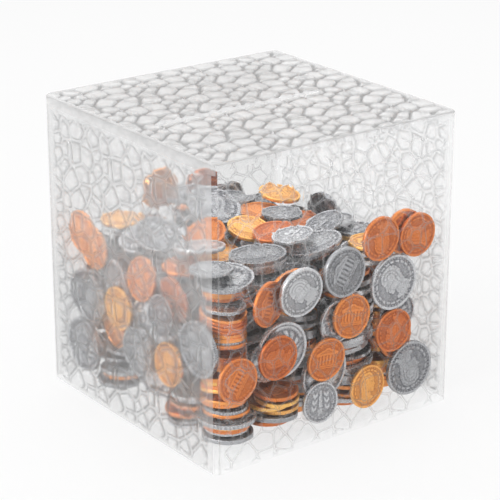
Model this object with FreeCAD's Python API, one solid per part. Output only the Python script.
import FreeCAD, Part
import math
import os
import random

# Clear cube money box, part filled with loose coins. Millimetres, +Z up. The origin is the
# middle of the underside, X runs along the front face and the coin slot, Y runs to the back.

# Box: four walls that stand on the table, a base let in between them and a lid on top
BOX_WIDTH = 123.0
BOX_DEPTH = 123.0
BOX_HEIGHT = 130.0
WALL = 5.0
BASE = 5.0
LID = 5.0
CORNER_RADIUS = 3.0
LID_BEVEL = 0.8

# Slot in the lid, with half-round ends and a bevelled upper rim, a little off the middle
SLOT_LENGTH = 82.0
SLOT_WIDTH = 5.0
SLOT_BEVEL = 0.5
SLOT_MIDDLE_X = -7.0
SLOT_MIDDLE_Y = -3.2

# Coins
PENNY_DIAMETER = 19.05
PENNY_THICKNESS = 1.52
NICKEL_DIAMETER = 21.21
NICKEL_THICKNESS = 1.95
DIME_DIAMETER = 17.91
DIME_THICKNESS = 1.35
QUARTER_DIAMETER = 24.26
QUARTER_THICKNESS = 1.75

# Heap: its general level above the base, and the gaps that keep neighbours apart
HEAP_LEVEL = 63.0
WALL_GAP = 0.15
STACK_GAP = 0.06
SIDE_GAP = 0.32
LAYER_STEP = 2.2

# How the heap is laid: grid cell, steepest rest of one coin and how much less steep each more
# makes it, height of a roll beside a wall and how much it gains per millimetre further in
CELL = 0.5
STEEPEST = 0.62
STIFFER = 0.25
ROLL_HEIGHT = 60.0
WALL_STRIP = 4.0
GAIN_INWARD = 1.5

# How a place is chosen: places drawn for each roll, how many of them are tried, how far beside a
# roll its neighbours are looked for, and the bonus for a place with close neighbours
SPOTS = 160
BEST_SPOTS = 8
BESIDE = 1.5
CLOSE_BONUS = 7.0
DISC_POINTS = ((0.0, 1), (0.55, 5), (0.95, 9))
RING_POINTS = 14
FILL_KINDS = ("quarter", "penny", "nickel", "quarter", "nickel", "penny", "dime")
FILL_ROLLS = 22
MOST_TRIES = 260
SEED = 7

# Search for the plane that a coin rests on: farthest corners, most steps, height still left over
FAR = 1000.0
MOST_STEPS = 80
LEFT_OVER = 0.01

# How far a listed roll may be nudged to find its rest, and in how many directions
NUDGES = (0.0, 1.5, 3.0, 4.5, 6.0)
NUDGE_TURNS = 8

# Lengths that count as none
SMALL = 1e-6

INNER_WIDTH = BOX_WIDTH - 2 * WALL
INNER_DEPTH = BOX_DEPTH - 2 * WALL
FLOOR = BASE
WALL_HEIGHT = BOX_HEIGHT - LID

COINS = {
    "penny": (PENNY_DIAMETER / 2, PENNY_THICKNESS),
    "nickel": (NICKEL_DIAMETER / 2, NICKEL_THICKNESS),
    "dime": (DIME_DIAMETER / 2, DIME_THICKNESS),
    "quarter": (QUARTER_DIAMETER / 2, QUARTER_THICKNESS),
}

# Coins that stand against a wall: kind, place along the wall as a share of its inner half
# length, height of the middle above the base, layer (1 is behind the first) and lean in degrees
LEFT_WALL = (
    ("quarter", 0.78, 14.8, 0, 0),
    ("penny", -0.36, 27.6, 0, 3),
    ("nickel", 0.03, 26.0, 0, 0),
    ("nickel", 0.66, 38.2, 0, 0),
    ("penny", 0.28, 37.6, 0, 0),
    ("quarter", -0.73, 41.4, 0, -2),
    ("dime", -0.26, 47.2, 0, 5),
    ("penny", 0.60, 62.4, 0, 0),
    ("penny", 0.83, 65.5, 1, 0),
)
FRONT_WALL = (
    ("dime", -0.07, 9.2, 0, 4),
    ("quarter", 0.78, 12.4, 0, 0),
    ("penny", -0.02, 27.3, 0, -3),
    ("penny", 0.61, 29.6, 0, 0),
    ("penny", -0.82, 30.2, 0, 3),
    ("penny", -0.47, 35.3, 0, 0),
    ("quarter", -0.40, 37.0, 1, 0),
    ("penny", 0.21, 43.9, 0, 2),
    ("quarter", 0.60, 50.0, 0, 0),
    ("nickel", -0.25, 60.3, 0, -5),
    ("nickel", 0.14, 63.6, 0, 2),
    ("penny", 0.47, 70.2, 0, 0),
    ("penny", 0.82, 68.8, 0, 0),
    ("penny", 0.72, 74.5, 1, 0),
)
RIGHT_WALL = (
    ("quarter", -0.52, 15.0, 0, 2),
    ("nickel", 0.20, 34.0, 0, -4),
    ("quarter", 0.26, 58.0, 0, 5),
)
BACK_WALL = (
    ("quarter", 0.10, 27.0, 0, 0),
    ("quarter", -0.38, 51.0, 0, 4),
    ("penny", -0.12, 73.0, 0, 0),
    ("penny", 0.27, 69.0, 0, 3),
)

# Stacks that stand in the corner nearest the front left, one on another from the base up
CORNER_STACK = (
    ("quarter", 2),
    ("penny", 3),
    ("quarter", 2),
    ("penny", 3),
)

# Rolls that finish the top: kind, coins in it, and place as shares of the inner half widths
TOP_ROLLS = (
    ("penny", 4, -0.68, -0.62),
    ("quarter", 1, -0.70, -0.66),
    ("quarter", 3, -0.22, -0.42),
    ("nickel", 1, -0.74, 0.42),
    ("penny", 1, -0.60, 0.80),
    ("quarter", 1, 0.00, 0.46),
    ("penny", 1, 0.42, 0.40),
    ("penny", 1, 0.08, 0.10),
    ("quarter", 1, 0.26, -0.48),
    ("nickel", 1, 0.72, -0.10),
)

# Mounds on the heap: place as shares of the inner half widths, rise and reach
MOUNDS = (
    (-0.05, 0.85, 11.0, 26.0),
    (0.80, -0.72, 8.0, 22.0),
    (-0.80, -0.60, -4.0, 26.0),
)


def heap_top(x, y):
    """Height that the heap reaches at a place."""
    height = FLOOR + HEAP_LEVEL
    for share_x, share_y, rise, reach in MOUNDS:
        away_x = x - share_x * INNER_WIDTH / 2
        away_y = y - share_y * INNER_DEPTH / 2
        height += rise * math.exp(-(away_x**2 + away_y**2) / reach**2)
    return height


class Roll:
    """One coin, or several like coins that lie face to face: its middle and its axis."""

    def __init__(self, kind, count, middle, axis):
        self.kind = kind
        self.count = count
        self.radius, thickness = COINS[kind]
        self.half = count * thickness / 2
        self.middle = middle
        self.axis = axis

    def moved(self, rise):
        x, y, z = self.middle
        return Roll(self.kind, self.count, (x, y, z + rise), self.axis)

    def reach(self, i):
        """Half of its length along X, Y or Z."""
        lean = self.axis[i]
        return self.half * abs(lean) + self.radius * math.sqrt(max(0.0, 1 - lean * lean))

    def span(self, x, y, grow=0.0):
        """Lowest and highest point of the roll on the upright line at x, y, or None."""
        nx, ny, nz = self.axis
        dx = x - self.middle[0]
        dy = y - self.middle[1]
        radius = self.radius + grow
        half = self.half + STACK_GAP / 2
        along = dx * nx + dy * ny
        a = 1.0 - nz * nz
        c = dx * dx + dy * dy - along * along - radius * radius
        if a < SMALL:
            if c > 0.0:
                return None
            low, high = -FAR, FAR
        else:
            b = -2.0 * along * nz
            root = b * b - 4.0 * a * c
            if root < 0.0:
                return None
            root = math.sqrt(root)
            low = (-b - root) / (2.0 * a)
            high = (-b + root) / (2.0 * a)
        if abs(nz) < SMALL:
            if abs(along) > half:
                return None
        else:
            one = (-half - along) / nz
            two = (half - along) / nz
            low = max(low, min(one, two))
            high = min(high, max(one, two))
        if low >= high:
            return None
        z = self.middle[2]
        return z + low, z + high

    def meets(self, other):
        """True if the two are nearer than the least gap."""
        reach = math.hypot(self.radius, self.half) + math.hypot(other.radius, other.half)
        if math.dist(self.middle, other.middle) > reach:
            return False
        return self.solid().distToShape(other.solid())[0] < STACK_GAP

    def solid(self):
        axis = FreeCAD.Vector(*self.axis)
        start = FreeCAD.Vector(*self.middle) - axis * self.half
        return Part.makeCylinder(self.radius, 2 * self.half, start, axis)


class Heap:
    """Coins laid so far, the height of the ground that they make, and the coins that stand
    against the walls, which others must stay clear of."""

    def __init__(self):
        self.rolls = []
        self.columns = int(INNER_WIDTH / CELL)
        self.rows = int(INNER_DEPTH / CELL)
        self.ground = [[FLOOR] * self.rows for _ in range(self.columns)]
        self.standing = {}

    def place(self, column, row):
        """Middle of a grid cell."""
        x = (column + 0.5 - self.columns / 2) * CELL
        y = (row + 0.5 - self.rows / 2) * CELL
        return x, y

    def heights(self, x, y, away, points):
        """Heights of the ground at points on a ring round a place. Past a wall it is the wall's."""
        found = []
        for i in range(points):
            turn = 2 * math.pi * i / points
            column = int((x + away * math.cos(turn)) / CELL + self.columns / 2)
            row = int((y + away * math.sin(turn)) / CELL + self.rows / 2)
            if 0 <= column < self.columns and 0 <= row < self.rows:
                found.append(self.ground[column][row])
            else:
                found.append(WALL_HEIGHT)
        return found

    def height_at(self, x, y, away, points):
        return max(self.heights(x, y, away, points))

    def cells(self, roll, grow):
        """Grid cells under a roll, each with the roll's span there."""
        x, y, _ = roll.middle
        wide = roll.reach(0) + grow
        deep = roll.reach(1) + grow
        first = max(0, int((x - wide) / CELL + self.columns / 2))
        last = min(self.columns, int((x + wide) / CELL + self.columns / 2) + 1)
        near = max(0, int((y - deep) / CELL + self.rows / 2))
        far = min(self.rows, int((y + deep) / CELL + self.rows / 2) + 1)
        for column in range(first, last):
            for row in range(near, far):
                span = roll.span(*self.place(column, row), grow)
                if span:
                    yield column, row, span

    def stand(self, roll):
        """Adds a coin that is held against a wall."""
        for column, row, span in self.cells(roll, SIDE_GAP):
            self.standing.setdefault((column, row), []).append(span)
        self.rolls.append(roll)

    def lay(self, roll):
        """Adds a roll that rests on the ground, and raises the ground to its top."""
        for column, row, span in self.cells(roll, SIDE_GAP):
            self.ground[column][row] = max(self.ground[column][row], span[1])
        self.rolls.append(roll)

    def inside(self, roll):
        """True if the roll is clear of the four walls."""
        x, y, _ = roll.middle
        return (
            abs(x) + roll.reach(0) < INNER_WIDTH / 2 - WALL_GAP
            and abs(y) + roll.reach(1) < INNER_DEPTH / 2 - WALL_GAP
        )

    def meets_standing(self, cells, drop=0.0):
        """True if a roll with these cells, moved by drop, meets a coin that stands."""
        for column, row, span in cells:
            for low, high in self.standing.get((column, row), ()):
                if span[0] + drop < high and span[1] + drop > low:
                    return True
        return False

    def settled(self, roll):
        """The roll lowered until it touches the ground, or None if it meets a standing coin."""
        cells = list(self.cells(roll, SIDE_GAP))
        drop = max(self.ground[column][row] - span[0] for column, row, span in cells)
        return None if self.meets_standing(cells, drop) else roll.moved(drop)

    def rest(self, kind, count, x, y):
        """A roll of so many coins as it comes to rest at a place, or None if it can't."""
        radius, thickness = COINS[kind]
        points = []
        for column in range(self.columns):
            u = self.place(column, 0)[0] - x
            if abs(u) > radius:
                continue
            deep = math.sqrt(radius * radius - u * u)
            near = max(0, int((y - deep) / CELL + self.rows / 2))
            far = min(self.rows, int((y + deep) / CELL + self.rows / 2) + 1)
            for row in range(near, far):
                v = self.place(0, row)[1] - y
                points.append((u, v, self.ground[column][row]))
        plane = resting_plane(points)
        if plane is None:
            return None
        height, slope_x, slope_y = plane
        steep = math.hypot(slope_x, slope_y)
        if steep > STEEPEST / (1 + STIFFER * (count - 1)):
            return None
        size = math.sqrt(1 + steep * steep)
        axis = (-slope_x / size, -slope_y / size, 1 / size)
        half = count * thickness / 2
        middle = tuple(base + half * part for base, part in zip((x, y, height), axis))
        roll = Roll(kind, count, middle, axis)
        return self.settled(roll) if self.inside(roll) else None


def resting_plane(points):
    """The plane on which a flat disc rests on points (u, v, height) round its middle: the one
    that touches three of them, with the middle between those three. Gives the height at the
    middle and the slopes along u and v, or None."""
    corners = [(FAR, 0.0, -FAR), (-FAR, FAR, -FAR), (-FAR, -FAR, -FAR)]
    for _ in range(MOST_STEPS):
        (u0, v0, h0), (u1, v1, h1), (u2, v2, h2) = corners
        area = (u1 - u0) * (v2 - v0) - (u2 - u0) * (v1 - v0)
        if abs(area) < SMALL:
            return None
        slope_u = ((h1 - h0) * (v2 - v0) - (h2 - h0) * (v1 - v0)) / area
        slope_v = ((u1 - u0) * (h2 - h0) - (u2 - u0) * (h1 - h0)) / area
        height = h0 - slope_u * u0 - slope_v * v0
        excess = [h - height - slope_u * u - slope_v * v for u, v, h in points]
        worst = max(excess)
        if worst < LEFT_OVER:
            return height, slope_u, slope_v
        found = points[excess.index(worst)]
        trials = [corners[:i] + [found] + corners[i + 1 :] for i in range(3)]
        corners = max(trials, key=middle_share)
    return None


def middle_share(corners):
    """How far inside a triangle the point 0, 0 lies: negative outside it."""
    (u0, v0, _), (u1, v1, _), (u2, v2, _) = corners
    crosses = (u1 * v2 - u2 * v1, u2 * v0 - u0 * v2, u0 * v1 - u1 * v0)
    area = sum(crosses)
    if abs(area) < SMALL:
        return -FAR
    return min(cross / area for cross in crosses)


def stand_coins(heap, listed, out, along, length, depth):
    """Stands the listed coins against the wall that faces out. Each is slid up the wall until it
    is clear of the coins that stand already."""
    for kind, share, up, layer, lean in listed:
        radius, thickness = COINS[kind]
        most = length / 2 - WALL_GAP - radius
        place = max(-most, min(most, share * length / 2))
        lift = math.sin(math.radians(lean))
        level = math.cos(math.radians(lean))
        away = abs(lift) * radius + level * thickness / 2 + WALL_GAP + layer * LAYER_STEP
        x, y = (along[i] * place + out[i] * (depth / 2 - away) for i in range(2))
        height = FLOOR + max(up, radius + WALL_GAP)
        roll = Roll(kind, 1, (x, y, height), (out[0] * level, out[1] * level, lift))
        while any(roll.meets(other) for other in heap.rolls):
            roll = roll.moved(CELL)
        heap.stand(roll)


def lay_corner(heap):
    """Stands the mixed stack in the front left corner, from the base up."""
    widest = max(COINS[kind][0] for kind, _ in CORNER_STACK)
    x = -INNER_WIDTH / 2 + LAYER_STEP + widest
    y = -INNER_DEPTH / 2 + LAYER_STEP + widest
    height = FLOOR + STACK_GAP / 2
    for kind, count in CORNER_STACK:
        radius, thickness = COINS[kind]
        half = count * thickness / 2
        heap.lay(Roll(kind, count, (x, y, height + half), (0.0, 0.0, 1.0)))
        height += 2 * half + STACK_GAP


def coins_wanted(kind, x, y, room):
    """How many coins a roll has: few beside a wall, more further in."""
    radius, thickness = COINS[kind]
    beside = min(INNER_WIDTH / 2 - abs(x), INNER_DEPTH / 2 - abs(y)) - radius
    tallest = min(room, ROLL_HEIGHT + max(0.0, beside - WALL_STRIP) * GAIN_INWARD)
    return int(tallest / thickness)


def spot_score(heap, x, y, radius):
    """How good a place is for a roll, less being better: how high the ground is there beside the
    heap's level, less a bonus for neighbours round it that are higher than the ground."""
    ground = max(heap.height_at(x, y, share * radius, points) for share, points in DISC_POINTS)
    beside = heap.heights(x, y, radius + BESIDE, RING_POINTS)
    close = sum(1 for height in beside if height > ground + BESIDE) / RING_POINTS
    return ground - heap_top(x, y) - CLOSE_BONUS * close, ground


def fill(heap, chance):
    """Drops rolls one by one, each at the best of some places drawn at random, until the heap
    has its shape."""
    laid = 0
    for _ in range(MOST_TRIES):
        if laid == FILL_ROLLS:
            return
        kind = FILL_KINDS[laid % len(FILL_KINDS)]
        radius = COINS[kind][0]
        spots = []
        for _ in range(SPOTS):
            x = chance.uniform(-1, 1) * (INNER_WIDTH / 2 - radius - SIDE_GAP)
            y = chance.uniform(-1, 1) * (INNER_DEPTH / 2 - radius - SIDE_GAP)
            spots.append((*spot_score(heap, x, y, radius), x, y))
        spots.sort()
        found = []
        for score, ground, x, y in spots[:BEST_SPOTS]:
            count = coins_wanted(kind, x, y, heap_top(x, y) - ground)
            roll = heap.rest(kind, count, x, y) if count > 0 else None
            if roll:
                rise = roll.middle[2] - roll.half - ground
                found.append((score + max(0.0, rise), roll))
        if found:
            heap.lay(min(found, key=lambda f: f[0])[1])
            laid += 1


def places_near(x, y):
    """The place itself, then places round it that are further and further off."""
    for nudge in NUDGES:
        for i in range(NUDGE_TURNS if nudge else 1):
            turn = 2 * math.pi * i / NUDGE_TURNS
            yield x + nudge * math.cos(turn), y + nudge * math.sin(turn)


def top_off(heap):
    """Lays the listed rolls on top, each at its place or the nearest where it comes to rest."""
    for kind, count, share_x, share_y in TOP_ROLLS:
        radius = COINS[kind][0]
        most_x = INNER_WIDTH / 2 - radius - SIDE_GAP
        most_y = INNER_DEPTH / 2 - radius - SIDE_GAP
        for x, y in places_near(share_x * INNER_WIDTH / 2, share_y * INNER_DEPTH / 2):
            x = max(-most_x, min(most_x, x))
            y = max(-most_y, min(most_y, y))
            roll = heap.rest(kind, count, x, y)
            if roll:
                heap.lay(roll)
                break


def panel(width, depth, height, x, y, z, round_edges=()):
    """A plate with its middle at x, y and its underside at z. Upright edges nearest the given
    corners are rounded."""
    plate = Part.makeBox(width, depth, height, FreeCAD.Vector(x - width / 2, y - depth / 2, z))
    corners = [FreeCAD.Vector(x + sx * width / 2, y + sy * depth / 2, 0) for sx, sy in round_edges]
    edges = []
    for edge in plate.Edges:
        middle = edge.CenterOfMass
        upright = abs(edge.Vertexes[0].Z - edge.Vertexes[1].Z) > height / 2
        flat = FreeCAD.Vector(middle.x, middle.y, 0)
        if upright and any((flat - corner).Length < SMALL for corner in corners):
            edges.append(edge)
    return plate.makeFillet(CORNER_RADIUS, edges) if edges else plate


def slot_space():
    """The space of the coin slot, through the lid and with half-round ends."""
    radius = SLOT_WIDTH / 2
    straight = SLOT_LENGTH - SLOT_WIDTH
    middle = FreeCAD.Vector(SLOT_MIDDLE_X, SLOT_MIDDLE_Y, WALL_HEIGHT)
    low_corner = middle - FreeCAD.Vector(straight / 2, radius, 0)
    space = Part.makeBox(straight, SLOT_WIDTH, LID, low_corner)
    for side in (-1, 1):
        end = middle + FreeCAD.Vector(side * straight / 2, 0, 0)
        space = space.fuse(Part.makeCylinder(radius, LID, end))
    return space.removeSplitter()


def top_edges(lid, in_slot):
    """Edges of the lid's upper face: those round the slot, or those round the outside."""
    edges = []
    for edge in lid.Edges:
        middle = edge.CenterOfMass
        on_top = edge.BoundBox.ZMin > BOX_HEIGHT - SMALL
        along = abs(middle.x - SLOT_MIDDLE_X)
        across = abs(middle.y - SLOT_MIDDLE_Y)
        at_slot = across < SLOT_WIDTH and along < SLOT_LENGTH / 2 + SMALL
        if on_top and at_slot == in_slot:
            edges.append(edge)
    return edges


def lid_panel():
    """The lid: rounded corners, bevelled upper edge and the coin slot with its bevelled rim."""
    corners = ((-1, -1), (1, -1), (1, 1), (-1, 1))
    lid = panel(BOX_WIDTH, BOX_DEPTH, LID, 0, 0, WALL_HEIGHT, corners)
    lid = lid.cut(slot_space())
    lid = lid.makeChamfer(LID_BEVEL, top_edges(lid, False))
    return lid.makeChamfer(SLOT_BEVEL, top_edges(lid, True))


def panels():
    """The six plates. Front and back are full width, and the sides fit between them."""
    middle_y = (BOX_DEPTH - WALL) / 2
    middle_x = (BOX_WIDTH - WALL) / 2
    return {
        "front_panel": panel(BOX_WIDTH, WALL, WALL_HEIGHT, 0, -middle_y, 0, ((-1, -1), (1, -1))),
        "back_panel": panel(BOX_WIDTH, WALL, WALL_HEIGHT, 0, middle_y, 0, ((-1, 1), (1, 1))),
        "left_panel": panel(WALL, INNER_DEPTH, WALL_HEIGHT, -middle_x, 0, 0),
        "right_panel": panel(WALL, INNER_DEPTH, WALL_HEIGHT, middle_x, 0, 0),
        "base_panel": panel(INNER_WIDTH, INNER_DEPTH, BASE, 0, 0, 0),
        "lid_panel": lid_panel(),
    }


def coins():
    """The heap, grouped by kind of coin: single coins, and stacks of like coins face to face."""
    heap = Heap()
    stand_coins(heap, LEFT_WALL, (-1, 0), (0, 1), INNER_DEPTH, INNER_WIDTH)
    stand_coins(heap, RIGHT_WALL, (1, 0), (0, 1), INNER_DEPTH, INNER_WIDTH)
    stand_coins(heap, FRONT_WALL, (0, -1), (1, 0), INNER_WIDTH, INNER_DEPTH)
    stand_coins(heap, BACK_WALL, (0, 1), (1, 0), INNER_WIDTH, INNER_DEPTH)
    lay_corner(heap)
    fill(heap, random.Random(SEED))
    top_off(heap)
    groups = {}
    for roll in heap.rolls:
        name = roll.kind + ("_stacks" if roll.count > 1 else "_coins")
        groups.setdefault(name, []).append(roll.solid())
    return {name: Part.makeCompound(solids) for name, solids in groups.items()}


def main():
    os.makedirs("parts", exist_ok=True)
    shapes = panels()
    shapes.update(coins())
    for name, shape in shapes.items():
        shape.exportStep(os.path.join("parts", name + ".step"))
        print(name, len(shape.Solids), "solids, volume", round(shape.Volume))


main()
